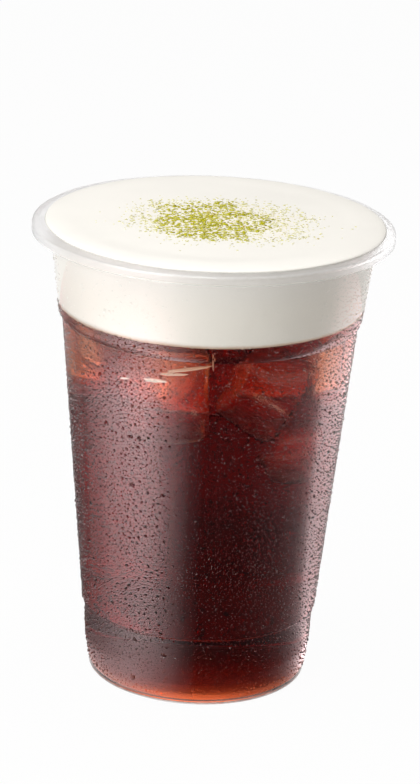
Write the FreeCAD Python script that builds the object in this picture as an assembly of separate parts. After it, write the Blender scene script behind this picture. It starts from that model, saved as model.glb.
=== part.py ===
import FreeCAD, Part
import math
import os

# A cold drink in a clear thermoformed cup: tea up to a level, milk foam above it.
# Millimetres, +Z up, origin on the axis at the plane that the foot ring stands on.

# Overall sizes
cup_height = 124.6        # foot to the crest of the flange
rim_radius = 47.5         # outside of the rim's skirt
foot_radius = 29.1        # outside of the foot ring, where it would meet the table
wall = 0.5                # thickness of the drawn sheet
content_gap = 0.1         # the tea and foam stand this far inside the sheet

# Rim: a flange that falls a little outwards, with a skirt turned down at its edge
flange_width = 4.7        # from the top of the wall to the outside of the skirt
flange_flat = 2.5         # level stretch from the wall to the crest
flange_fall = 0.25        # how much lower the flange is at the skirt than at its crest
flange_throat = 0.4       # rounding where the wall turns out into the flange
skirt_height = 2.4
skirt_round = 0.3         # under the skirt's shoulder, the sheet's thickness less than outside

# Collar: the steeper top of the wall, down to the rounded stacking shoulder
collar_height = 24.3      # crest of the flange to the middle of the shoulder's bend
collar_taper = 7.1        # degrees from upright
shoulder_height = 1.4     # from that middle to the groove
shoulder_inset = 1.0
shoulder_round = 4.0
groove_round = 0.3

# Heel: an almost upright band under the long taper, then the foot ring
heel_top = 19.1           # the step where the long taper ends
heel_radius = 30.8        # outside, just under that step
heel_step = 0.6           # how far the long taper stands out over the heel
heel_taper = 3.0          # degrees from upright
heel_base = 9.0           # where the heel starts to turn in to the foot ring
heel_round = 3.0
foot_height = 6.0         # top of the foot ring
foot_taper = 6.5          # degrees from upright
foot_round = 1.3
foot_width = 2.6          # of the ring that touches the table
punt_height = 1.8         # how far the middle of the base is pushed up
punt_slope = 2.4          # how far the base runs in while it rises
punt_round = 0.8
step_round = 0.3          # at the small steps of the wall

# Contents
foam_depth = 21.4         # crest of the flange to the level of the tea
foam_overlap = 1.6        # how far the foam laps over the flange from the wall's top
foam_edge_height = 0.7    # rounded edge of the foam
foam_edge_width = 4.0
foam_crown = 0.7          # rise from the top of that edge to the middle


def lean(height, degrees):
    """Sideways run over a height of a line that leans by an angle."""
    return height * math.tan(math.radians(degrees))


def sheet_corners():
    """Lower and outer face of the sheet, from the axis to the skirt: (radius, height, rounding)."""
    under_flange = cup_height - wall
    wall_top = rim_radius - flange_width
    shoulder_bend = cup_height - collar_height
    shoulder_radius = wall_top - lean(under_flange - shoulder_bend, collar_taper)
    foot_inner = foot_radius - foot_width
    foot_top = foot_radius + lean(foot_height, foot_taper)
    heel_low = heel_radius - lean(heel_top - heel_base, heel_taper)
    return [
        (0.0, punt_height, 0.0),
        (foot_inner - punt_slope, punt_height, punt_round),
        (foot_inner, 0.0, punt_round),
        (foot_radius, 0.0, foot_round),
        (foot_top, foot_height, step_round),
        (heel_low, heel_base, heel_round),
        (heel_radius, heel_top, step_round),
        (heel_radius + heel_step, heel_top + heel_step, step_round),
        (shoulder_radius - shoulder_inset, shoulder_bend - shoulder_height, groove_round),
        (shoulder_radius, shoulder_bend, shoulder_round),
        (wall_top, under_flange, flange_throat),
        (wall_top + flange_flat, under_flange, 0.0),
        (rim_radius - wall, under_flange - flange_fall, skirt_round),
        (rim_radius - wall, cup_height - flange_fall - skirt_height, 0.0),
    ]


def heading(start, end):
    return math.atan2(end[1] - start[1], end[0] - start[0])


def turn_at(before, corner, after):
    """Angle that the outline turns by at a corner, positive to the left."""
    return math.remainder(heading(corner, after) - heading(before, corner), math.tau)


def moved_left(corners, distance):
    """The outline moved to its left by a distance, with rounds that keep their centres."""
    moved = []
    for index, (radius, height, rounding) in enumerate(corners):
        before = corners[max(index - 1, 0)]
        after = corners[min(index + 1, len(corners) - 1)]
        if index in (0, len(corners) - 1):
            along, turn = heading(before, after), 0.0
        else:
            along, turn = heading(before, corners[index]), turn_at(before, corners[index], after)
        reach = distance / math.cos(turn / 2)
        aside = along + turn / 2 + math.pi / 2
        if rounding > 0:
            rounding = max(rounding - math.copysign(distance, turn), 0.0)
        moved.append((radius + reach * math.cos(aside), height + reach * math.sin(aside), rounding))
    return moved


def point(radius, height):
    return FreeCAD.Vector(radius, 0, height)


def line(start, end):
    return Part.makeLine(point(*start), point(*end))


def rounded_edges(corners):
    """Straight runs through the corners, with a tangent arc at each that has a rounding."""
    edges = []
    last = point(*corners[0][:2])
    for index in range(1, len(corners)):
        corner = point(*corners[index][:2])
        rounding = corners[index][2]
        if rounding > 0:
            turn = abs(turn_at(*corners[index - 1 : index + 2]))
            inwards = (last - corner).normalize()
            onwards = (point(*corners[index + 1][:2]) - corner).normalize()
            back = rounding * math.tan(turn / 2)
            middle = (inwards + onwards).normalize() * rounding * (1 / math.cos(turn / 2) - 1)
            start, end = corner + inwards * back, corner + onwards * back
            edges.append(Part.makeLine(last, start))
            edges.append(Part.Arc(start, corner + middle, end).toShape())
            last = end
        else:
            edges.append(Part.makeLine(last, corner))
            last = corner
    return edges


def turned(edges):
    """The solid that a closed outline sweeps about the axis."""
    face = Part.Face(Part.Wire(Part.__sortEdges__(edges)))
    return face.revolve(FreeCAD.Vector(0, 0, 0), FreeCAD.Vector(0, 0, 1), 360)


def make_cup():
    """One sheet of even thickness from the middle of the base to the edge of the skirt."""
    outside = sheet_corners()
    inside = moved_left(outside, wall)
    edges = rounded_edges(outside) + rounded_edges(inside)
    edges.append(line(outside[0][:2], inside[0][:2]))
    edges.append(line(outside[-1][:2], inside[-1][:2]))
    return turned(edges)


def make_contents():
    """Everything that fills the cup: the cavity, the lap over the flange and the domed top."""
    cavity = moved_left(sheet_corners(), wall + content_gap)[:-3]
    lap_height = cup_height + content_gap
    lap_radius = rim_radius - flange_width + foam_overlap
    edge_radius = lap_radius - foam_edge_width
    edge_top = lap_height + foam_edge_height
    crown = edge_top + foam_crown
    edge_curve = Part.BezierCurve()
    edge_curve.setPoles(
        [point(lap_radius, lap_height), point(lap_radius, edge_top), point(edge_radius, edge_top)]
    )
    crown_curve = Part.BezierCurve()
    crown_curve.setPoles([point(edge_radius, edge_top), point(edge_radius / 2, crown), point(0, crown)])
    edges = rounded_edges(cavity + [(lap_radius, lap_height, 0.0)])
    edges += [edge_curve.toShape(), crown_curve.toShape(), line((0, crown), cavity[0][:2])]
    return turned(edges)


def split_at_level(contents):
    """The tea below its level and the foam above it, which meet in one flat face."""
    level = cup_height - foam_depth
    below = Part.makeCylinder(2 * rim_radius, level + cup_height, FreeCAD.Vector(0, 0, -cup_height))
    return contents.common(below), contents.cut(below)


def main():
    tea, milk_foam = split_at_level(make_contents())
    os.makedirs("parts", exist_ok=True)
    for name, shape in (("cup", make_cup()), ("tea", tea), ("milk_foam", milk_foam)):
        solid = shape.Solids[0]
        solid.exportStep(f"parts/{name}.step")
        print(name, "valid", solid.isValid(), "solids", len(shape.Solids), "mm3", round(solid.Volume))


main()
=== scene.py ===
import bpy
import math
import numpy as np
from mathutils import Euler, Matrix, Vector, noise
from mathutils.bvhtree import BVHTree


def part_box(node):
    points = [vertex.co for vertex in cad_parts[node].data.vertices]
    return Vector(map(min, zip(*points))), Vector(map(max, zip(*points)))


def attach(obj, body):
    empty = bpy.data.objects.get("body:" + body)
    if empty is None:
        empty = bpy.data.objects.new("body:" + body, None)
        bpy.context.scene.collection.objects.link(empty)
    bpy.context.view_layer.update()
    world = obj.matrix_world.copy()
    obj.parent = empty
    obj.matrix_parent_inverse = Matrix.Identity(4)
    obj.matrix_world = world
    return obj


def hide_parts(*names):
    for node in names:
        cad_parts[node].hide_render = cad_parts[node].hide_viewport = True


mm = 0.001
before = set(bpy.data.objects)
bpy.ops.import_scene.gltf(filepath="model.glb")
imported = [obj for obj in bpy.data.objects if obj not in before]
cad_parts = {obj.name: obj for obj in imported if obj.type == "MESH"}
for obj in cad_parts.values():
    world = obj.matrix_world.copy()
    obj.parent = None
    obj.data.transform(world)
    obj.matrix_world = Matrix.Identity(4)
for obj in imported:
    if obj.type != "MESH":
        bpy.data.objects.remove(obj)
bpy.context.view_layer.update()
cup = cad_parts["cup"]
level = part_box("tea")[1].z  # where the tea ends and the foam begins
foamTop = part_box("milk_foam")[1].z

camera = {
    "place": (0.0, -0.82895, 0.36490),
    "pan": 0.055,  # degrees to the right
    "pitch": 19.098,  # degrees down
    "roll": 2.468,  # degrees
    "lens": 151.85,  # mm, as is the sensor
    "sensor": 36,
    "clip": (0.01, 20),
}


def placeCamera(c):
    data = bpy.data.cameras.new("camera")
    data.sensor_width = c["sensor"]
    data.lens = c["lens"]
    data.clip_start, data.clip_end = c["clip"]
    eye = bpy.data.objects.new("camera", data)
    bpy.context.scene.collection.objects.link(eye)
    pan, pitch, roll = (math.radians(c[k]) for k in ("pan", "pitch", "roll"))
    ahead = Vector((math.sin(pan) * math.cos(pitch),
                    math.cos(pan) * math.cos(pitch),
                    -math.sin(pitch)))
    right = Vector((math.cos(pan), -math.sin(pan), 0))
    up = right.cross(ahead)
    across = math.cos(roll) * right + math.sin(roll) * up
    over = math.cos(roll) * up - math.sin(roll) * right
    turn = Matrix((across, over, -ahead)).transposed()
    eye.matrix_world = Matrix.Translation(c["place"]) @ turn.to_4x4()
    bpy.context.scene.camera = eye


placeCamera(camera)


def addMesh(name, points, faces, material, smooth=True):
    mesh = bpy.data.meshes.new(name)
    mesh.from_pydata(np.asarray(points).tolist(), [], faces)
    mesh.update()
    mesh.materials.append(material)
    mesh.polygons.foreach_set("use_smooth", [smooth] * len(mesh.polygons))
    thing = bpy.data.objects.new(name, mesh)
    bpy.context.scene.collection.objects.link(thing)
    return thing


def addPiece(name, points, faces, material):
    piece = addMesh(name, points, faces, material)
    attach(piece, "root")
    print(name, "made with", sum(len(f) - 2 for f in faces), "triangles")
    return piece


def outlineOf(node):
    # the turned node's own outline, bottom to top, as (radius, height)
    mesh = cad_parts[node].data
    tiny = 1e-7  # how near y = 0 a point counts as on the outline
    spot = {v.index: (round(v.co.x * 1e6), round(v.co.z * 1e6))  # in thousandths of a mm
            for v in mesh.vertices if abs(v.co.y) < tiny and v.co.x > -tiny}
    beside = {}
    for edge in mesh.edges:
        a, b = (spot.get(i) for i in edge.vertices)
        if a and b and a != b:
            beside.setdefault(a, set()).add(b)
            beside.setdefault(b, set()).add(a)
    here = min((k for k in beside if len(beside[k]) == 1), key=lambda k: k[1])
    walked = [here]
    while True:
        onward = [k for k in beside[here] if k not in walked]
        if not onward:
            break
        here = onward[0]
        walked.append(here)
    return np.array(walked) * 1e-6


def grown(outline, by):
    # the outline moved outwards, by one distance or one for each point
    sharpest = 0.6  # keeps a sharp corner from shooting far out
    by = np.broadcast_to(by, len(outline))
    step = np.diff(outline, axis=0)
    side = np.stack([step[:, 1], -step[:, 0]], 1) / np.linalg.norm(step, axis=1)[:, None]
    before, after = np.vstack([side[:1], side]), np.vstack([side, side[-1:]])
    middle = before + after
    middle /= np.linalg.norm(middle, axis=1)[:, None]
    stretch = 1 / np.clip((middle * after).sum(1), sharpest, 1)
    moved = outline + middle * (by * stretch)[:, None]
    kept = [0]
    for i in range(1, len(moved)):
        if (moved[i] - moved[kept[-1]]) @ (outline[i] - outline[kept[-1]]) > 0:
            kept.append(i)
    return moved[kept]


def finer(outline, longest):
    # the same outline with no step longer than this
    points = [outline[0]]
    for a, b in zip(outline[:-1], outline[1:]):
        count = max(1, math.ceil(np.linalg.norm(b - a) / longest))
        points += [a + (b - a) * i / count for i in range(1, count + 1)]
    return np.array(points)


def turned(outline, segments):
    # an outline from the axis to the axis, turned once round
    angles = np.arange(segments) * 2 * math.pi / segments
    inner = outline[1:-1]
    rings = np.stack([inner[:, :1] * np.cos(angles),
                      inner[:, :1] * np.sin(angles),
                      np.repeat(inner[:, 1:], segments, 1)], 2)
    points = np.vstack([[[0, 0, outline[0][1]]],
                        rings.reshape(-1, 3),
                        [[0, 0, outline[-1][1]]]])
    faces = []
    last = len(points) - 1
    for j in range(segments):
        k = (j + 1) % segments
        faces.append((0, 1 + k, 1 + j))
        for i in range(len(inner) - 1):
            a, b = 1 + i * segments, 1 + (i + 1) * segments
            faces.append((a + j, a + k, b + k, b + j))
        a = 1 + (len(inner) - 1) * segments
        faces.append((a + j, a + k, last))
    return points, faces


def joined(parts):
    # several (points, faces) as one
    points, faces, start = [], [], 0
    for spots, sides in parts:
        points.append(spots)
        faces += [[start + i for i in side] for side in sides]
        start += len(spots)
    return np.vstack(points), faces


def newMaterial(name):
    material = bpy.data.materials.new(name)
    material.use_nodes = True
    nodes = material.node_tree.nodes
    return material, material.node_tree, nodes["Principled BSDF"], nodes["Material Output"]


def passLamps(tree, shader, out):
    # lamps and bounced light go straight through, the camera sees the bent glass
    path = tree.nodes.new("ShaderNodeLightPath")
    clear = tree.nodes.new("ShaderNodeBsdfTransparent")
    for light in ("Is Diffuse Ray", "Is Shadow Ray"):
        mix = tree.nodes.new("ShaderNodeMixShader")
        tree.links.new(path.outputs[light], mix.inputs[0])
        tree.links.new(shader.outputs[0], mix.inputs[1])
        tree.links.new(clear.outputs[0], mix.inputs[2])
        shader = mix
    tree.links.new(shader.outputs[0], out.inputs["Surface"])


def noiseNode(tree, scale, detail, where=None):
    node = tree.nodes.new("ShaderNodeTexNoise")
    node.inputs["Scale"].default_value = scale
    node.inputs["Detail"].default_value = detail
    if where is None:
        where = tree.nodes.new("ShaderNodeTexCoord").outputs["Object"]
    tree.links.new(where, node.inputs["Vector"])
    return node


def bump(tree, shader, height, distance, strength):
    node = tree.nodes.new("ShaderNodeBump")
    node.inputs["Distance"].default_value = distance
    node.inputs["Strength"].default_value = strength
    tree.links.new(height, node.inputs["Height"])
    tree.links.new(node.outputs[0], shader.inputs["Normal"])


def ramp(tree, fac, low, high):
    # 0 at low to 1 at high, eased at both ends
    node = tree.nodes.new("ShaderNodeMapRange")
    node.interpolation_type = "SMOOTHSTEP"
    node.inputs["From Min"].default_value = low
    node.inputs["From Max"].default_value = high
    tree.links.new(fac, node.inputs["Value"])
    return node.outputs[0]


def blendColours(tree, fac, first, second):
    node = tree.nodes.new("ShaderNodeMix")
    node.data_type = "RGBA"
    tree.links.new(fac, node.inputs[0])
    for socket, colour in ((node.inputs[6], first), (node.inputs[7], second)):
        if isinstance(colour, tuple):
            socket.default_value = (*colour, 1)
        else:
            tree.links.new(colour, socket)
    return node.outputs[2]


def maths(tree, operation, first, second):
    node = tree.nodes.new("ShaderNodeMath")
    node.operation = operation
    for i, value in enumerate((first, second)):
        if isinstance(value, (int, float)):
            node.inputs[i].default_value = value
        else:
            tree.links.new(value, node.inputs[i])
    return node.outputs[0]


clearPlastic = {
    "ior": 1.45,
    "shine": 0.28,
    "roughness": 0.02,
    "rimRoughness": 0.3,
    "rimFrom": 121.6 * mm,
    "rimBlend": 1.0 * mm,
    "frost": 0.6,  # of the base pushed up under the drink
    "frostWithin": 25.5 * mm,  # of the middle of the foot
    "wave": 1 * mm,
    "waveScale": 45,
    "waveStrength": 0.02,
}


def makeClearPlastic(c):
    material, tree, shader, out = newMaterial("clear_plastic")
    shader.inputs["Base Color"].default_value = (1, 1, 1, 1)
    shader.inputs["Transmission Weight"].default_value = 1
    shader.inputs["IOR"].default_value = c["ior"]
    shader.inputs["Specular IOR Level"].default_value = c["shine"]
    where = tree.nodes.new("ShaderNodeTexCoord").outputs["Object"]
    split = tree.nodes.new("ShaderNodeSeparateXYZ")
    tree.links.new(where, split.inputs[0])
    softer = ramp(tree, split.outputs[2], c["rimFrom"], c["rimFrom"] + c["rimBlend"])
    softer = maths(tree, "MULTIPLY", softer, c["rimRoughness"] - c["roughness"])
    away = tree.nodes.new("ShaderNodeVectorMath")
    away.operation = "LENGTH"
    tree.links.new(where, away.inputs[0])
    under = maths(tree, "LESS_THAN", away.outputs["Value"], c["frostWithin"])
    under = maths(tree, "MULTIPLY", under, c["frost"])
    softer = maths(tree, "ADD", softer, under)
    tree.links.new(maths(tree, "ADD", softer, c["roughness"]), shader.inputs["Roughness"])
    waves = noiseNode(tree, c["waveScale"], 1).outputs[0]
    bump(tree, shader, waves, c["wave"], c["waveStrength"])
    passLamps(tree, shader, out)
    return material


cup.material_slots[0].material = makeClearPlastic(clearPlastic)

# ice: rounded cubes that have begun to melt, just under the foam
ice = {
    "ior": 1.31,
    "roughness": 0.02,
    "dents": {"scale": 220, "deep": 1 * mm, "strength": 0.12},
    "steps": 14,  # along each edge of a cube
    "corner": 3.2 * mm,
    "taper": 0.07,  # wider at the top
    "wobble": 0.7 * mm,
    "wobbleSize": 9,  # mm
    "coarse": 1.4,  # of the wobble, and of a finer one on it
    "fine": 0.25,
    "finer": 3.3,
    "overlap": 0.05 * mm,  # how far each cube reaches into the tea round it
    "clear": 0.7 * mm,  # to the cup's wall
    "pressed": 1.5 * mm,  # a corner past the wall ends within this of it
    "pressedOver": 3 * mm,
    "under": 0.4 * mm,  # below the foam
    "cubes": [  # centre, half sizes and turns in mm and degrees
        {"at": (-10.5, -27.0, 88.8), "half": (11.0, 10.0, 12.6), "turn": (6, -5, 4)},
        {"at": (14.5, -26.0, 88.5), "half": (9.5, 9.0, 9.5), "turn": (12, 28, -12)},
        {"at": (29.0, -1.5, 90.0), "half": (7.5, 10.0, 11.0), "turn": (-8, 6, 12)},
        {"at": (-28.5, 0.0, 90.3), "half": (7.5, 10.5, 11.0), "turn": (5, -10, -8)},
        {"at": (-4.5, 0.5, 85.5), "half": (10.0, 9.5, 9.5), "turn": (-12, 9, 24)},
        {"at": (-13.0, 23.5, 84.0), "half": (10.5, 9.5, 9.5), "turn": (7, 13, 18)},
        {"at": (13.0, 23.0, 85.5), "half": (10.0, 9.0, 9.5), "turn": (-6, -8, -25)},
        {"at": (-30.0, -20.5, 97.0), "half": (6.0, 7.0, 4.8), "turn": (4, 6, 38)},
        {"at": (31.0, -19.0, 92.4), "half": (5.6, 6.6, 8.2), "turn": (6, -6, -36)},
        {"at": (22.0, -19.5, 70.5), "half": (8.0, 7.5, 7.0), "turn": (20, 10, 34)},
    ],
}
# painted highlights in the ice: pale sheets that lamps light straight through the tea
paintedGlints = {
    "colour": (1.0, 0.92, 0.82),
    "roughness": 0.4,
    "cover": 0.62,
    "steps": 20,
    "lumps": 0.3,
    "lumpScale": 1.6,
    "glintSheets": [  # painted highlights: pale sheets in the ice nearest the front, at its cracks and edges
        {"at": (-13.2, -35.2, 92.6), "half": (3.2, 0.9, 0.24), "turn": (16, -2, -20)},
        {"at": (-4.6, -36.4, 96.6), "half": (5.6, 0.8, 0.2), "turn": (20, -12, -6)},
        {"at": (-8.4, -36.2, 94.9), "half": (3.6, 0.6, 0.12), "turn": (20, -6, -14)},
        {"at": (1.2, -35.8, 98.8), "half": (0.2, 0.6, 2.2), "turn": (6, -3, 0)},
        {"at": (-21.0, -31.0, 91.4), "half": (1.5, 0.5, 0.16), "turn": (20, -10, -34)},
    ],
}
wall = outlineOf("tea")
wall = wall[wall[:, 1] > 30 * mm]  # where the tea lies against the cup's wall


def iceCube(cube, c, seed):
    count, corner = c["steps"], c["corner"]
    grid = np.sin(np.linspace(-1, 1, count + 1) * math.pi / 2)  # closer near the edges
    half = np.array(cube["half"]) * mm
    index, points, faces = {}, [], []

    def point(place):
        key = tuple(np.round(place, 6))
        if key not in index:
            index[key] = len(points)
            whole = np.array(place) * half
            core = np.clip(whole, corner - half, half - corner)
            out = (whole - core) / np.linalg.norm(whole - core)
            spot = core + out * corner
            spot[:2] *= 1 + c["taper"] * spot[2] / half[2]
            shift = Vector(spot / mm / c["wobbleSize"])
            shift += Vector((seed * 7.3, 0, 0))  # so that no two cubes are alike
            melted = noise.noise(shift) * c["coarse"]
            melted += c["fine"] * noise.noise(shift * c["finer"])
            spot += out * c["wobble"] * melted
            points.append(spot)
        return index[key]

    for axis in range(3):
        for sign in (-1, 1):
            for i in range(count):
                for j in range(count):
                    face = []
                    for a, b in ((i, j), (i + 1, j), (i + 1, j + 1), (i, j + 1)):
                        place = [0, 0, 0]
                        place[axis], place[axis - 2], place[axis - 1] = sign, grid[a], grid[b]
                        face.append(point(place))
                    faces.append(face if sign > 0 else face[::-1])
    turn = Euler([math.radians(t) for t in cube["turn"]]).to_matrix()
    points = np.array(points) @ np.array(turn).T + np.array(cube["at"]) * mm
    far = np.hypot(points[:, 0], points[:, 1])
    most = np.interp(points[:, 2], wall[:, 1], wall[:, 0]) - c["clear"]
    back = c["pressed"] * np.exp((far - most) / -c["pressedOver"]).clip(0, 1)
    points[:, :2] *= np.minimum(1, (most - back) / far)[:, None]
    points[:, 2] = np.minimum(points[:, 2], level - c["under"])
    return points, faces


def shrunk(points, faces, by):
    # every point moved inwards along its normal
    mesh = bpy.data.meshes.new("scratch")
    mesh.from_pydata(points.tolist(), [], faces)
    normals = np.array([v.normal[:] for v in mesh.vertices])
    bpy.data.meshes.remove(mesh)
    return points - normals * by


def makeIceMaterial(c):
    material, tree, shader, out = newMaterial("ice")
    shader.inputs["Base Color"].default_value = (1, 1, 1, 1)
    shader.inputs["Transmission Weight"].default_value = 1
    shader.inputs["IOR"].default_value = c["ior"]
    shader.inputs["Roughness"].default_value = c["roughness"]
    dents = c["dents"]
    height = noiseNode(tree, dents["scale"], 2).outputs[0]
    bump(tree, shader, height, dents["deep"], dents["strength"])
    passLamps(tree, shader, out)
    return material


def glintSheet(one, c):
    count = c["steps"]
    turn = np.array(Euler([math.radians(t) for t in one["turn"]]).to_matrix())

    def point(i, j):
        a, b = math.pi * i / count, 2 * math.pi * j / count
        spot = np.array((math.sin(a) * math.cos(b), math.sin(a) * math.sin(b), math.cos(a)))
        lump = noise.noise(Vector(spot * c["lumpScale"]) + Vector(one["at"]))
        spot *= 1 + c["lumps"] * lump
        return turn @ (spot * one["half"]) * mm + np.array(one["at"]) * mm

    rings = [(i, j) for i in range(1, count) for j in range(count)]
    points = [point(0, 0)] + [point(i, j) for i, j in rings] + [point(count, 0)]
    faces = []
    for j in range(count):
        n = (j + 1) % count
        faces.append([0, 1 + j, 1 + n])
        for i in range(count - 2):
            a = 1 + i * count
            faces.append([a + j, a + count + j, a + count + n, a + n])
        a = 1 + (count - 2) * count
        faces.append([a + j, len(points) - 1, a + n])
    return np.array(points), faces


# the painted highlights of the ice, as one piece
def makePaintedGlints(c):
    material, tree, shader, out = newMaterial("ice_painted_glints")
    shader.inputs["Base Color"].default_value = (*c["colour"], 1)
    shader.inputs["Roughness"].default_value = c["roughness"]
    shader.inputs["Alpha"].default_value = c["cover"]
    passLamps(tree, shader, out)
    points, faces = joined([glintSheet(one, c) for one in c["glintSheets"]])
    addPiece("ice_painted_glints", points, faces, material)


cubes = [iceCube(cube, ice, i) for i, cube in enumerate(ice["cubes"])]
icePoints, iceFaces = joined(cubes)
hollows = joined([(shrunk(points, faces, ice["overlap"]), [f[::-1] for f in faces])
                  for points, faces in cubes])
addPiece("ice", icePoints, iceFaces, makeIceMaterial(ice))
makePaintedGlints(paintedGlints)

# the line round the wall where tea meets foam, a little uneven and higher on the right
meeting = {
    "tilt": 0.35 * mm,  # how much higher it is at tiltAt to the right
    "tiltAt": 40 * mm,
    "waver": 0.12 * mm,
    "waverSize": 12 * mm,
    "within": 0.5 * mm,  # of the line, beyond which nothing moves
}


def edgeHeight(x, y):
    away = Vector((x, y, 0)) / meeting["waverSize"]
    return meeting["tilt"] * x / meeting["tiltAt"] + meeting["waver"] * noise.noise(away)


tea = {
    "grow": 0.3 * mm,  # reaches this far out of its own outline, into the wall
    "step": 0.15 * mm,  # straight up along the wall
    "lap": 1.2 * mm,  # and this far up into the foam
    "lapIn": 1.2 * mm,
    "density": 230.0,
    "colour": (0.783, 0.37, 0.065),
    "ior": 1.333,
    "shine": 0.0,  # hardly any where it touches the wall
    "segments": 240,
}


def makeTeaMaterial(c):
    material, tree, shader, out = newMaterial("tea")
    shader.inputs["Base Color"].default_value = (1, 1, 1, 1)
    shader.inputs["Transmission Weight"].default_value = 1
    shader.inputs["IOR"].default_value = c["ior"]
    shader.inputs["Specular IOR Level"].default_value = c["shine"]
    shader.inputs["Roughness"].default_value = 0.0
    soak = tree.nodes.new("ShaderNodeVolumeAbsorption")
    soak.inputs["Color"].default_value = (*c["colour"], 1)
    soak.inputs["Density"].default_value = c["density"]
    tree.links.new(soak.outputs[0], out.inputs["Volume"])
    passLamps(tree, shader, out)
    return material


def makeTea(c):
    outline = grown(outlineOf("tea"), c["grow"])
    edge, within = outline[-1], meeting["within"]
    outline = np.vstack([[[0, outline[0][1]]],
                         outline,
                         [edge + (0, c["step"])],
                         [edge + (-c["lapIn"], c["lap"])],
                         [[0, level + c["lap"]]]])
    points, faces = turned(outline, c["segments"])
    for p in points:
        if p[2] > level - within:
            p[2] += edgeHeight(p[0], p[1]) * min(1, (p[2] - level + within) / within)
    points, faces = joined([(points, faces), hollows])  # the ice lies in hollows in the tea
    piece = addPiece("tea_with_hollows", points, faces, makeTeaMaterial(c))
    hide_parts("tea")


makeTea(tea)

foam = {
    "grow": 0.25 * mm,  # out of its own outline, into the wall
    "growBelow": 1.9 * mm,  # the top, above which it keeps its own outline
    "lapGrow": 0.15 * mm,  # into the top of the flange
    "step": 1.6 * mm,  # longest along the outline
    "segments": 256,
    "edgeShift": 0.5 * mm,  # the lap reaches further out on the right
    "edgeRight": 0.9,  # of that by the side, the rest uneven
    "edgeUneven": 0.35,
    "edgeLump": 16 * mm,
    "edgeWide": 4 * mm,  # over this much of it
    "roll": 0.32 * mm,  # how far the edge stands above the foam inside it
    "rollAt": 39.2 * mm,  # from the middle
    "rollWide": 3.2 * mm,
    "rollSide": 0.65,  # of it at the sides
    "rollFront": 0.35,  # and more at the front, less at the back
    "rollUneven": 0.5,
    "rollLump": 14 * mm,
    "swell": 0.12 * mm,  # soft dents and rises all over the top
    "swellSink": 0.3,
    "swellLump": 17 * mm,
    "swellFrom": 0.6 * mm,  # full this far above the lap
    "colour": (0.93, 0.914, 0.873),
    "clouded": 0.975,  # of that colour in the darker clouds
    "cloudScale": 60,
    "side": (0.93, 0.90, 0.83),  # painted warm shade on the foam's side behind the wall
    "warmShadeFrom": 110 * mm,
    "crown": 1.5 * mm,  # the topmost part, which takes the painted shade round the powder
    "crownFull": 1.0 * mm,
    "stain": (0.62, 0.43, 0.28),  # at the very bottom, from the tea
    "stainFrom": (-0.4 * mm, 0.7 * mm),  # to here, over the line round the wall
    "stainRagged": 0.5 * mm,
    # painted warm shade round the powder flecks
    "powderShade": (0.92, 0.83, 0.70),
    "powderShadeCover": 0.6,
    "powderShadeFrom": (1.2, 0.35),  # of the powder's spread, none to full
    "roughness": 0.38,
    "shine": 0.35,
    "bubbles": 0.05 * mm,
    "bubbleScale": 300,
    "bubbleStrength": 0.5,
}
powder = {
    "core": {"at": (-1.2 * mm, -3.5 * mm), "spread": (14.0 * mm, 16.5 * mm),
             "gather": 0.62, "stray": 0.07},
    "rest": {"at": (1.8 * mm, -2.5 * mm), "spread": (22.5 * mm, 18.0 * mm),
             "gather": 0.7, "stray": 0.2},
    "count": 9600,
    "ragged": 0.45,  # edge of the core
    "farthest": 1.6,  # of the spread
    "clump": 1.1 * mm,
    "drift": 6 * mm,  # wider clumps, this much of the whole
    "driftShare": 0.35,
    "gaps": (-0.4, 0.45),  # what a clump has to be above
    "size": (0.42 * mm, 1.2 * mm),
    "few": 2.2,  # the higher, the fewer are large
    "sides": 6,
    "jagged": (0.65, 1.25),  # reach of the corners
    "lean": 0.25,
    "sunk": 0.06 * mm,  # underside of a fleck, below the foam
    "edge": 0.05 * mm,  # its edge, above the foam
    "thick": 0.13,  # of its size, above its edge
    "pale": (0.3, 0.75),  # away from the core
    "paleSmaller": 0.8,
    "colours": ((0.47, 0.44, 0.004), (0.58, 0.55, 0.02), (0.30, 0.27, 0.004),
                (0.68, 0.65, 0.14), (0.5, 0.36, 0.03)),
    "share": (0.5, 0.28, 0.08, 0.1, 0.04),  # of the flecks, for each colour
    "bright": (0.85, 1.1),
    "thin": (0.88, 0.86, 0.66),  # what the pale flecks go towards
    "roughness": 0.8,
    "shine": 0.2,
}


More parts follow.
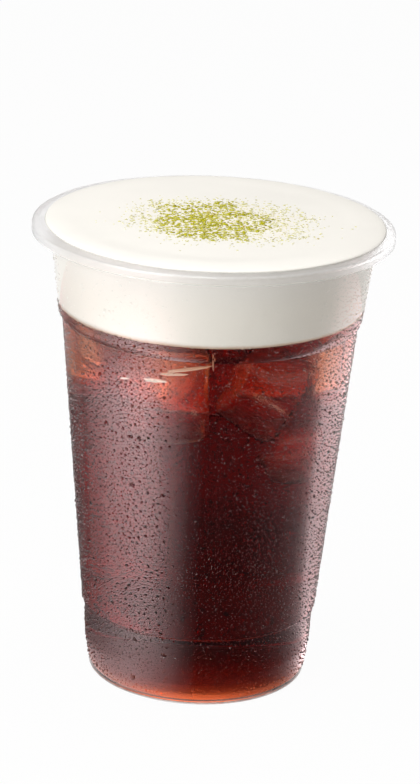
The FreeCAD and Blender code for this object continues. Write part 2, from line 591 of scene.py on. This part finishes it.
def makeFoamMaterial(c):
    material, tree, shader = newMaterial("milk_foam")[:3]
    where = tree.nodes.new("ShaderNodeTexCoord").outputs["Object"]
    split = tree.nodes.new("ShaderNodeSeparateXYZ")
    tree.links.new(where, split.inputs[0])
    bubbles = noiseNode(tree, c["bubbleScale"], 4, where).outputs[0]
    clouds = noiseNode(tree, c["cloudScale"], 2, where).outputs[0]
    x, z = split.outputs[0], split.outputs[2]
    darker = tuple(v * c["clouded"] for v in c["colour"])
    creamAndShade = blendColours(tree, ramp(tree, clouds, 0.3, 0.7), c["colour"], darker)
    crown = foamTop - c["crown"]
    # painted warm shade: the foam's side warmer, fading out towards the crown
    creamAndShade = blendColours(tree, ramp(tree, z, c["warmShadeFrom"], crown), c["side"], creamAndShade)
    lift = maths(tree, "SUBTRACT", z, maths(tree, "MULTIPLY", bubbles, c["stainRagged"]))
    tilt = maths(tree, "MULTIPLY", x, meeting["tilt"] / meeting["tiltAt"])
    lift = maths(tree, "SUBTRACT", lift, tilt)
    stained = ramp(tree, lift, level + c["stainFrom"][0], level + c["stainFrom"][1])
    creamAndShade = blendColours(tree, stained, c["stain"], creamAndShade)
    away = tree.nodes.new("ShaderNodeVectorMath")
    away.operation = "LENGTH"
    flat = tree.nodes.new("ShaderNodeCombineXYZ")
    for i in range(2):
        off = maths(tree, "SUBTRACT", split.outputs[i], powder["rest"]["at"][i])
        tree.links.new(maths(tree, "DIVIDE", off, powder["rest"]["spread"][i]), flat.inputs[i])
    tree.links.new(flat.outputs[0], away.inputs[0])
    # painted warm shade round and between the powder flecks
    near = ramp(tree, away.outputs["Value"], c["powderShadeFrom"][0], c["powderShadeFrom"][1])
    top = ramp(tree, z, crown, foamTop - c["crownFull"])
    shadeNearPowder = maths(tree, "MULTIPLY", near, top)
    shadeNearPowder = maths(tree, "MULTIPLY", shadeNearPowder, ramp(tree, bubbles, 0.35, 0.65))
    creamAndShade = blendColours(tree, maths(tree, "MULTIPLY", shadeNearPowder, c["powderShadeCover"]), creamAndShade, c["powderShade"])
    tree.links.new(creamAndShade, shader.inputs["Base Color"])
    shader.inputs["Roughness"].default_value = c["roughness"]
    shader.inputs["Specular IOR Level"].default_value = c["shine"]
    bump(tree, shader, bubbles, c["bubbles"], c["bubbleStrength"])
    return material


def makeFoam(c):
    outline = outlineOf("milk_foam")
    by = np.where(outline[:, 1] < foamTop - c["growBelow"], c["grow"], 0.0)
    lapHeight = outline[outline[:, 0].argmax()][1]  # of the widest point, over the flange
    by[abs(outline[:, 1] - lapHeight) < 0.02 * mm] = c["lapGrow"]
    outline = finer(grown(outline, by), c["step"])
    outline = np.vstack([[[0, outline[0][1]]], outline])
    outline[-1][0] = 0
    points, faces = turned(outline, c["segments"])
    lap = outline[outline[:, 0].argmax()]
    within, wide, skip = meeting["within"], c["edgeWide"], 0.1 * mm
    for p in points:
        far = math.hypot(p[0], p[1])
        if p[2] < level + within:
            p[2] += edgeHeight(p[0], p[1]) * min(1, (level + within - p[2]) / within)
        elif p[2] > lap[1] - skip and far > lap[0] - wide:
            part = min(1, (far - lap[0] + wide) / wide)
            uneven = c["edgeUneven"] * noise.noise(Vector(p) / c["edgeLump"])
            more = c["edgeShift"] * (p[0] / far * c["edgeRight"] + uneven)
            p[:2] *= 1 + part * more / far
        if p[2] > lap[1] + skip:
            roll = math.exp(-((far - c["rollAt"]) / c["rollWide"]) ** 2)
            roll *= c["rollSide"] - c["rollFront"] * p[1] / max(far, mm)
            lump = noise.noise(Vector((p[0], p[1], 0)) / c["rollLump"])
            p[2] += c["roll"] * roll * (1 + c["rollUneven"] * lump)
            over = min(1, (p[2] - lap[1] - skip) / c["swellFrom"])
            lump = noise.noise(Vector(p) / c["swellLump"])
            p[2] += over * c["swell"] * (lump - c["swellSink"])
    piece = addPiece("foam_cap", points, faces, makeFoamMaterial(c))
    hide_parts("milk_foam")
    return points, faces


foamPoints, foamFaces = makeFoam(foam)

random = np.random.default_rng(11)  # for the powder, then the drops
anyTurn = 6.3  # radians, just over a full turn


def makePowder(c):
    # green flecks on the foam, each a low jagged cone
    surface = BVHTree.FromPolygons([tuple(p) for p in foamPoints], foamFaces)
    material, tree, shader = newMaterial("green_powder")[:3]
    tint = tree.nodes.new("ShaderNodeAttribute")
    tint.attribute_name = "tint"
    tree.links.new(tint.outputs["Color"], shader.inputs["Base Color"])
    shader.inputs["Roughness"].default_value = c["roughness"]
    shader.inputs["Specular IOR Level"].default_value = c["shine"]
    colours, thin = np.array(c["colours"]), np.array(c["thin"])
    smallest, largest = c["size"]
    sides = c["sides"]
    ring = np.arange(sides) * math.pi / (sides / 2)
    points, faces, tints = [], [], []
    for n in range(c["count"]):
        core = n % 2 == 0
        way = random.random() * 2 * math.pi
        spot = c["core"] if core else c["rest"]
        far = random.random() ** spot["gather"] + abs(random.normal(0, spot["stray"]))
        if core:
            edge = noise.noise(Vector((2.2 * math.cos(way), 2.2 * math.sin(way), 3.0)))
            far *= 1 + c["ragged"] * edge
        else:
            far = min(c["farthest"], far)
        x, y = spot["at"] + np.array(spot["spread"]) * (math.cos(way) * far, math.sin(way) * far)
        clump = noise.noise(Vector((x, y, 0)) / c["clump"])
        clump += c["driftShare"] * noise.noise(Vector((x, y, 5)) / c["drift"])
        if clump < random.uniform(*c["gaps"]):
            continue  # so that it lies in small clumps
        pale = 0.0 if core else random.uniform(*c["pale"])
        place = surface.ray_cast(Vector((x, y, 0.2)), Vector((0, 0, -1)))[0]
        size = (largest - smallest) * random.random() ** c["few"] * (1 - c["paleSmaller"] * pale)
        size += smallest
        turn, start = random.random() * anyTurn, len(points)
        reach = size / 2 * random.uniform(*c["jagged"], sides)
        lean = random.normal(0, c["lean"], 2)
        for height, wide in ((-c["sunk"], 0.8), (c["edge"], 1.0)):
            for a, r in zip(ring + turn, reach):
                u, v = math.cos(a) * r * wide, math.sin(a) * r * wide * 0.8
                points.append((place.x + u, place.y + v,
                               place.z + height + u * lean[0] + v * lean[1]))
        points.append((place.x, place.y, place.z + c["edge"] + c["thick"] * size))
        above, tip = start + sides, start + 2 * sides
        faces.append([start + i for i in range(sides - 1, -1, -1)])
        for i in range(sides):
            j = (i + 1) % sides
            faces.append([start + i, start + j, above + j, above + i])
            faces.append([above + i, above + j, tip])
        colour = colours[random.choice(len(colours), p=c["share"])]
        colour = colour * random.uniform(*c["bright"])
        colour = colour + (thin - colour) * pale
        tints += [(*colour, 1)] * (len(points) - start)
    piece = addPiece("green_powder", points, faces, material)
    layer = piece.data.color_attributes.new("tint", "FLOAT_COLOR", "POINT")
    layer.data.foreach_set("color", np.array(tints).ravel())


makePowder(powder)

# condensation: drops that stand on the outside of the cup
drops = {
    "ior": 1.333,
    "sunk": 0.04 * mm,  # how far a drop's base lies inside the wall
    "low": 2.5 * mm,
    "high": 121.6 * mm,
    "ledge": 0.3,  # none where the wall faces up more than this
    "room": 1.25,  # times a drop's own radius, kept free of others
    "apart": 0.03 * mm,  # and this much more
    "cell": 1.2 * mm,  # of the grid that finds the neighbours
    "few": 1.7,  # the higher, the fewer are wide
    "sag": 0.08,  # of a drop's height
    "uneven": (0.12, 0.07),  # outline, two and three times round
    "kinds": {  # width in mm, tall and deep over width; the last row is the share that stays
        "large": {"width": (1.3, 1.8), "tall": (1.0, 1.35), "deep": (0.26, 0.32),
                  "count": 30, "rings": 6, "sides": 20,
                  "foam": 0.5, "front": 0.0, "right": 0.2},
        "middle": {"width": (0.74, 1.12), "tall": (0.95, 1.25), "deep": (0.34, 0.42),
                   "count": 2000, "rings": 3, "sides": 10,
                   "foam": 0.5, "front": 0.03, "right": 0.3},
        "small": {"width": (0.5, 0.76), "tall": (0.95, 1.15), "deep": (0.4, 0.5),
                  "count": 8600, "rings": 1, "sides": 6,
                  "foam": 1.0, "front": 0.07, "right": 0.3},
        "fine": {"width": (0.3, 0.48), "tall": (0.95, 1.1), "deep": (0.4, 0.5),
                 "count": 10500, "rings": 1, "sides": 5,
                 "foam": 1.0, "front": 0.4, "right": 0.6},
    },
    "dryFoam": 0.05,  # round the foam, but not on the right
    "left": 0.45,
    "back": 0.55,
}


def wetness(c, k, turn, height):
    # how many of the drops stay; turn is in degrees from the front, left below 0
    if height > level:
        return k["foam"] if 8 < turn < 120 else c["dryFoam"]
    if -14 < turn < 22:
        return k["front"]
    if 22 <= turn < 75:
        return k["right"]
    if -110 < turn < -60:
        return c["left"]
    return c["back"] if abs(turn) > 110 else 1


def makeDrops(c):
    skin = BVHTree.FromPolygons([v.co for v in cup.data.vertices],
                                [p.vertices[:] for p in cup.data.polygons])
    material, tree, shader, out = newMaterial("condensation")
    shader.inputs["Base Color"].default_value = (1, 1, 1, 1)
    shader.inputs["Transmission Weight"].default_value = 1
    shader.inputs["IOR"].default_value = c["ior"]
    shader.inputs["Roughness"].default_value = 0.0
    passLamps(tree, shader, out)
    taken, cell = {}, c["cell"]

    def free(place, radius):
        key = tuple(int(v // cell) for v in place)
        for i in range(-2, 3):
            for j in range(-2, 3):
                for k in range(-2, 3):
                    near = (key[0] + i, key[1] + j, key[2] + k)
                    for other, size in taken.get(near, ()):
                        if (other - place).length < radius + size:
                            return False
        taken.setdefault(key, []).append((place, radius))
        return True

    for kind, k in c["kinds"].items():
        sides, rings = k["sides"], k["rings"]
        around = np.arange(sides) * 2 * math.pi / sides
        points, faces, made, tries = [], [], 0, 0
        while made < k["count"] and tries < k["count"] * 40:
            tries += 1
            turn = random.uniform(-180, 180)
            height = random.uniform(c["low"], c["high"])
            if random.random() > wetness(c, k, turn, height):
                continue
            a = math.radians(turn)
            inward = Vector((-math.sin(a), math.cos(a), 0))
            outside = Vector((0, 0, height)) - inward * 0.1  # well off the cup
            place, normal = skin.ray_cast(outside, inward)[:2]
            if place is None or normal.z > c["ledge"]:
                continue
            narrow, wide = k["width"]
            width = (narrow + (wide - narrow) * random.random() ** c["few"]) * mm
            tall = width * random.uniform(*k["tall"])
            if not free(place, max(width, tall) / 2 * c["room"] + c["apart"]):
                continue
            made += 1
            across = Vector((0, 0, 1)).cross(normal).normalized()
            up = normal.cross(across)
            deep = width * random.uniform(*k["deep"])
            start = len(points)
            base = place - normal * c["sunk"]
            uneven = 1 + c["uneven"][0] * np.sin(around * 2 + random.random() * anyTurn)
            uneven += c["uneven"][1] * np.sin(around * 3 + random.random() * anyTurn)
            steep = 2 * math.atan(2 * deep / width)  # how steeply the drop leaves the wall
            for r in range(rings + 1):
                lean = steep * (1 - r / (rings + 1))
                reach = math.sin(lean) / math.sin(steep)
                lift = (math.cos(lean) - math.cos(steep)) / (1 - math.cos(steep))
                for s in range(sides):
                    u = math.cos(around[s]) * width / 2 * reach * uneven[s]
                    v = math.sin(around[s]) * tall / 2 * reach * uneven[s]
                    v -= c["sag"] * tall * lift
                    points.append(base + across * u + up * v + normal * deep * lift)
            points.append(base - up * c["sag"] * tall + normal * deep)
            top = len(points) - 1
            foot = len(points)
            points += points[start:start + sides]
            faces.append([foot + s for s in range(sides - 1, -1, -1)])
            for s in range(sides):
                n = (s + 1) % sides
                for r in range(rings):
                    faces.append([start + r * sides + s, start + r * sides + n,
                                  start + (r + 1) * sides + n, start + (r + 1) * sides + s])
                faces.append([start + rings * sides + s, start + rings * sides + n, top])
        addPiece("drops_" + kind, [tuple(p) for p in points], faces, material)


makeDrops(drops)

studio = {
    "floorSize": 40.0,
    "floor": (0.68, 0.68, 0.68),  # what the light sees
    "floorWhite": 0.97,  # how white the floor is to the camera
    "ambient": 0.24,
    "tint": (1.0, 0.93, 0.82),  # of the soft light from all round
    "lamps": [  # soft panels: where, aimed at, width and height, strength
        {"name": "overhead", "at": (-0.15, -0.10, 0.75), "to": (0, 0, 0.12),
         "size": (0.6, 0.6), "power": 3.7},
        {"name": "left", "at": (-0.38, -0.43, 0.28), "to": (0, 0, 0.09),
         "size": (0.35, 0.45), "power": 3.55},
        {"name": "back_right", "at": (0.50, 0.30, 0.25), "to": (0, 0, 0.08),
         "size": (0.3, 0.5), "power": 1.9},
    ],
}


def makeFloor(c):
    material, tree, shader, out = newMaterial("floor")
    tree.nodes.remove(shader)
    path = tree.nodes.new("ShaderNodeLightPath")
    looks = path.outputs
    bent = maths(tree, "MAXIMUM", looks["Is Glossy Ray"], looks["Is Transmission Ray"])
    seen = maths(tree, "MAXIMUM", looks["Is Camera Ray"], bent)
    matte = tree.nodes.new("ShaderNodeBsdfDiffuse")
    matte.inputs[0].default_value = (*c["floor"], 1)
    white = tree.nodes.new("ShaderNodeEmission")
    mix = tree.nodes.new("ShaderNodeMixShader")
    tree.links.new(maths(tree, "MULTIPLY", seen, c["floorWhite"]), mix.inputs[0])
    tree.links.new(matte.outputs[0], mix.inputs[1])
    tree.links.new(white.outputs[0], mix.inputs[2])
    tree.links.new(mix.outputs[0], out.inputs["Surface"])
    half = c["floorSize"] / 2
    points = [(-half, -half, 0), (half, -half, 0), (half, half, 0), (-half, half, 0)]
    floor = addMesh("floor", points, [(0, 1, 2, 3)], material, False)


def makeWorld(c):
    world = bpy.data.worlds.new("studio")
    bpy.context.scene.world = world
    world.use_nodes = True
    tree = world.node_tree
    path = tree.nodes.new("ShaderNodeLightPath")
    looks = path.outputs
    seen = maths(tree, "MAXIMUM", looks["Is Camera Ray"], looks["Is Transmission Ray"])
    strength = tree.nodes.new("ShaderNodeMapRange")
    strength.inputs["To Min"].default_value = c["ambient"]
    tree.links.new(seen, strength.inputs["Value"])
    back = tree.nodes["Background"]
    tree.links.new(blendColours(tree, seen, c["tint"], (1.0, 1.0, 1.0)), back.inputs[0])
    tree.links.new(strength.outputs[0], back.inputs[1])


def makeLamp(c):
    data = bpy.data.lights.new(c["name"], "AREA")
    data.shape = "RECTANGLE"
    data.size, data.size_y = c["size"]
    data.energy = c["power"] * math.pi * c["size"][0] * c["size"][1]
    lamp = bpy.data.objects.new(c["name"], data)
    bpy.context.scene.collection.objects.link(lamp)
    lamp.location = c["at"]
    lamp.rotation_euler = (Vector(c["to"]) - Vector(c["at"])).to_track_quat("-Z", "Y").to_euler()
    lamp.visible_camera = False


# low glowing cards round the cup, seen only in its gloss or only through it
cards = {  # each row is degrees from the front, left below 0, and the glow at each radius
    "gloss_cards": {
        "height": 0.5 * mm,
        "through": False,
        "colour": (1, 0.74, 0.75),
        "radii": (0.0305, 0.042, 0.08, 0.14, 0.2, 0.235, 0.3),
        "glow": (
            (-182, 0.2, 0.2, 0.2, 0.2, 0.3, 0.5, 1),
            (-150, 0.05, 0.05, 0.05, 0.03, 0.03, 0.2, 0.9),
            (-130, 0.1, 0.1, 0.1, 0.1, 0.15, 0.2, 0.8),
            (-114, 0.2, 0.15, 0.2, 0.25, 0.5, 0.4, 0.6),
            (-93, 0.8, 0.6, 1.1, 2.1, 3.4, 1.4, 0.5), (-75, 2.0, 1.7, 3.3, 5.0, 7.4, 2.2, 0.4),
            (-59, 3.2, 3.6, 5.0, 7.0, 9.6, 2.0, 0.3), (-48, 4.4, 5.0, 6.0, 8.0, 9.8, 2.0, 0.3),
            (-38, 4.4, 5.2, 5.4, 6.8, 7.4, 1.6, 0.3), (-30, 4.0, 4.2, 3.8, 4.4, 4.6, 1.3, 0.4),
            (-20, 2.4, 2.4, 1.9, 2.1, 2.1, 0.7, 0.4), (-10, 0.9, 0.8, 0.5, 0.5, 0.5, 0.2, 0.4),
            (0, 0.15, 0.07, 0.07, 0.07, 0.07, 0.07, 0.4),
            (38, 0.2, 0.06, 0.06, 0.06, 0.06, 0.06, 0.4),
            (53, 0.4, 0.15, 0.15, 0.15, 0.15, 0.15, 0.5),
            (68, 1.3, 0.4, 0.28, 0.28, 0.3, 0.3, 0.7), (85, 3.6, 1.2, 0.7, 0.75, 0.9, 0.4, 0.5),
            (95, 4.6, 1.8, 1.4, 1.6, 1.8, 0.8, 0.6), (105, 5.2, 2.8, 3.4, 4.0, 4.4, 2.4, 1),
            (115, 4.0, 2.2, 2.8, 3.3, 4.0, 3.0, 1.4), (129, 2.6, 1.2, 1.5, 2.1, 2.8, 3.0, 1.8),
            (145, 1.2, 0.7, 0.9, 1.1, 1.8, 2.6, 2.2), (160, 0.6, 0.6, 0.6, 0.6, 0.8, 2.4, 2.2),
            (178, 0.3, 0.3, 0.3, 0.3, 0.4, 0.6, 1)),
    },
    "through_cards": {
        "height": 0.5 * mm,
        "through": True,
        "colour": (1, 1, 1),
        "shade": {"from": 0.05, "to": 0.064, "least": 0.12},  # darker near the cup
        "radii": (0.0305, 0.15, 0.2, 0.28, 0.33, 0.42, 0.5),
        "glow": (
            (-182, 1.0, 0.8, 1.8, 2.2, 1.25, 1.25, 1),
            (-174, 0.6, 0.5, 1.6, 2.1, 1.25, 1.25, 1), (-160, 0.5, 0.35, 1.6, 2.1, 1.2, 1.2, 1),
            (-150, 0.5, 0.35, 1.4, 2.0, 1.15, 1.15, 1),
            (-138, 0.8, 0.8, 1.2, 1.6, 1.05, 1.05, 1),
            (-124, 0.8, 0.8, 1.0, 1.2, 0.95, 0.95, 1),
            (-116, 0.3, 0.3, 0.5, 0.9, 0.95, 0.95, 1),
            (-100, 0.1, 0.1, 0.1, 0.3, 0.85, 0.85, 1), (-60, 0.1, 0.1, 0.1, 0.3, 0.85, 0.85, 1),
            (-30, 0.04, 0.04, 0.04, 0.1, 0.75, 0.8, 1),
            (30, 0.04, 0.04, 0.04, 0.1, 0.75, 0.8, 1), (96, 0.2, 0.2, 0.2, 0.3, 0.85, 0.85, 1),
            (120, 0.3, 0.3, 0.5, 0.8, 0.95, 0.95, 1), (138, 0.6, 0.7, 1.3, 1.8, 0.85, 0.85, 1),
            (148, 0.9, 1.7, 2.4, 2.2, 0.85, 0.85, 1), (160, 1.1, 2.5, 2.8, 2.4, 0.87, 0.87, 1),
            (170, 1.2, 3.3, 3.4, 2.6, 0.9, 0.9, 1), (175, 1.1, 2.2, 2.6, 2.4, 1.0, 1.0, 1),
            (178, 1.0, 0.8, 1.8, 2.2, 1.1, 1.1, 1)),
    },
    "warm_card": {
        "height": 0.2 * mm,
        "through": True,
        "colour": (1, 0.22, 0.07),
        "radii": (0.0005, 0.015, 0.019, 0.027),
        "glow": (
            (-180, 1.1, 0.5, 0.3, 0.3), (-80, 1.1, 0.5, 0.3, 0.3), (-58, 1.1, 0.5, 0.45, 0.45),
            (-38, 1.1, 0.8, 1.1, 0.9), (-20, 1.1, 1.1, 1.9, 1.6), (12, 1.1, 1.1, 1.9, 1.6),
            (34, 1.1, 0.8, 1.2, 0.9), (56, 1.1, 0.5, 0.5, 0.5), (80, 1.1, 0.5, 0.3, 0.3),
            (180, 1.1, 0.5, 0.3, 0.3)),
    },
}


def makeCard(name, c):
    material, tree, shader, out = newMaterial(name)
    tree.nodes.remove(shader)
    shine = tree.nodes.new("ShaderNodeEmission")
    value = tree.nodes.new("ShaderNodeAttribute")
    value.attribute_name = "glow"
    tree.links.new(value.outputs["Fac"], shine.inputs["Strength"])
    shine.inputs["Color"].default_value = (*c["colour"], 1)
    tree.links.new(shine.outputs[0], out.inputs["Surface"])
    rows = np.array(c["glow"])
    steps, every = 33, 2  # points along each radius, degrees from one to the next
    turns = np.arange(rows[0, 0], rows[-1, 0] + 1, every)
    radii = np.geomspace(c["radii"][0], c["radii"][-1], steps)
    by = np.array([np.interp(turns, rows[:, 0], column) for column in rows[:, 1:].T]).T
    glow = np.array([np.interp(radii, c["radii"], row) for row in by])
    if "shade" in c:
        shade = c["shade"]
        glow *= np.interp(radii, (shade["from"], shade["to"]), (shade["least"], 1))
    points = [(r * math.sin(math.radians(t)), -r * math.cos(math.radians(t)), c["height"])
              for t in turns for r in radii]
    faces = [(a, a + 1, a + steps + 1, a + steps)
             for i in range(len(turns) - 1) for a in range(i * steps, (i + 1) * steps - 1)]
    card = addMesh(name, points, faces, material, False)
    layer = card.data.attributes.new("glow", "FLOAT", "POINT")
    layer.data.foreach_set("value", glow.ravel())
    card.visible_camera = card.visible_diffuse = card.visible_shadow = False
    card.visible_transmission, card.visible_glossy = c["through"], not c["through"]


makeFloor(studio)
makeWorld(studio)
for lamp in studio["lamps"]:
    makeLamp(lamp)
for name, card in cards.items():
    makeCard(name, card)
print("studio made")

scene = bpy.context.scene
scene.view_settings.view_transform = "Standard"
bounces = 24  # enough for drops, cup, tea and ice one behind the other
scene.cycles.max_bounces = bounces
scene.cycles.transmission_bounces = bounces
scene.cycles.transparent_max_bounces = bounces
